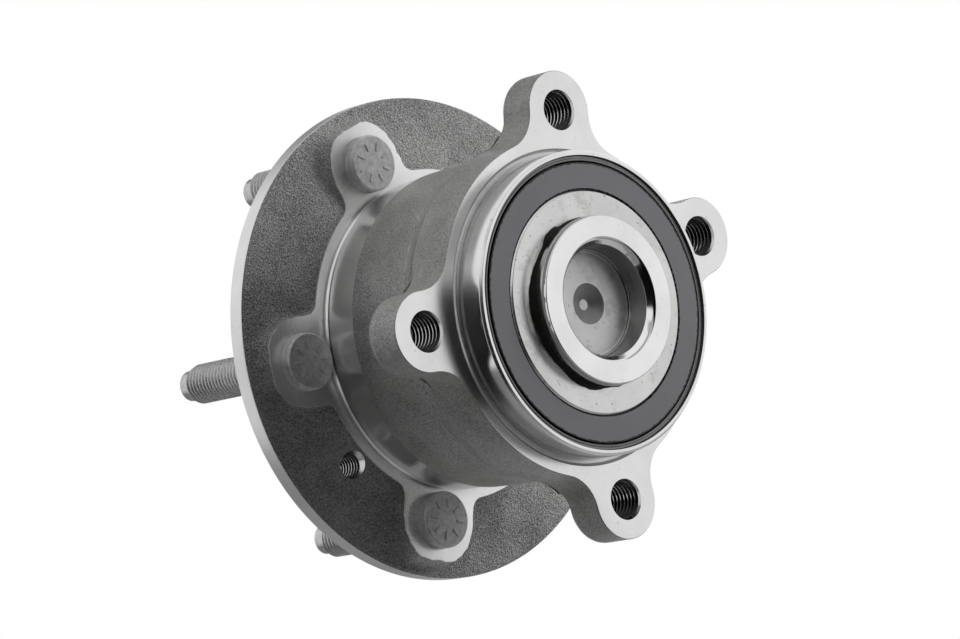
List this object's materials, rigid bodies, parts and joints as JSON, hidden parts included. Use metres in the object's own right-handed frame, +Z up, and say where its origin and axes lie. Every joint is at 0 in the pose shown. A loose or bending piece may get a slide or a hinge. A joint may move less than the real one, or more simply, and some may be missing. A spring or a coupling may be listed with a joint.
{
  "type": "wheel hub",
  "caption": "Flanged rear wheel hub unit: studded wheel flange turning in a sealed double row ball bearing, whose outer ring bolts to the knuckle through threaded lugs.",
  "frame": {"origin": "on the axle, in the plane of the flange face that the wheel is clamped to", "axes": "+Y along the axle towards the wheel (outboard), +Z up, +X to the right when seen from inboard"},
  "size_m": [0.147, 0.1274, 0.147],
  "materials": {
    "forged_ring": "shot-blasted forging with turned faces",
    "forged_spindle": "shot-blasted forging with turned faces",
    "bearing_steel": "ground",
    "ball_steel": "polished",
    "pressed_steel": "satin",
    "seal_rubber": "matt",
    "encoder_rubber": "satin",
    "cage_plastic": "moulded",
    "stud_zinc": "zinc flake coating"
  },
  "bodies": {
    "outer": {"outer_ring": "forged_ring", "outboard_seal_case": "pressed_steel", "outboard_seal_lips": "seal_rubber", "inboard_seal_case": "pressed_steel", "inboard_seal_lips": "seal_rubber"},
    "hub": {"hub_spindle": "forged_spindle", "inner_ring": "bearing_steel", "encoder_slinger": "pressed_steel", "magnetic_encoder": "encoder_rubber", "wheel_stud_1": "stud_zinc", "wheel_stud_2": "stud_zinc", "wheel_stud_3": "stud_zinc", "wheel_stud_4": "stud_zinc", "wheel_stud_5": "stud_zinc"},
    "outboard_ball_set": {"outboard_cage": "cage_plastic", "outboard_ball_01": "ball_steel", "outboard_ball_02": "ball_steel", "outboard_ball_03": "ball_steel", "outboard_ball_04": "ball_steel", "outboard_ball_05": "ball_steel", "outboard_ball_06": "ball_steel", "outboard_ball_07": "ball_steel", "outboard_ball_08": "ball_steel", "outboard_ball_09": "ball_steel", "outboard_ball_10": "ball_steel", "outboard_ball_11": "ball_steel", "outboard_ball_12": "ball_steel", "outboard_ball_13": "ball_steel", "outboard_ball_14": "ball_steel", "outboard_ball_15": "ball_steel"},
    "inboard_ball_set": {"inboard_cage": "cage_plastic", "inboard_ball_01": "ball_steel", "inboard_ball_02": "ball_steel", "inboard_ball_03": "ball_steel", "inboard_ball_04": "ball_steel", "inboard_ball_05": "ball_steel", "inboard_ball_06": "ball_steel", "inboard_ball_07": "ball_steel", "inboard_ball_08": "ball_steel", "inboard_ball_09": "ball_steel", "inboard_ball_10": "ball_steel", "inboard_ball_11": "ball_steel", "inboard_ball_12": "ball_steel", "inboard_ball_13": "ball_steel", "inboard_ball_14": "ball_steel", "inboard_ball_15": "ball_steel"}
  },
  "joints": [
    {"name": "hub_spin", "type": "hinge", "parent": "outer", "child": "hub", "pos_m": [0, 0, 0], "axis": [0, 1, 0], "continuous": true},
    {"name": "outboard_cage_spin", "type": "hinge", "parent": "outer", "child": "outboard_ball_set", "pos_m": [0, 0, 0], "axis": [0, 1, 0], "continuous": true},
    {"name": "inboard_cage_spin", "type": "hinge", "parent": "outer", "child": "inboard_ball_set", "pos_m": [0, 0, 0], "axis": [0, 1, 0], "continuous": true}
  ],
  "couplings": [
    {"joint": "outboard_cage_spin", "follows": "hub_spin", "ratio": 0.4297},
    {"joint": "inboard_cage_spin", "follows": "hub_spin", "ratio": 0.4297}
  ]
}
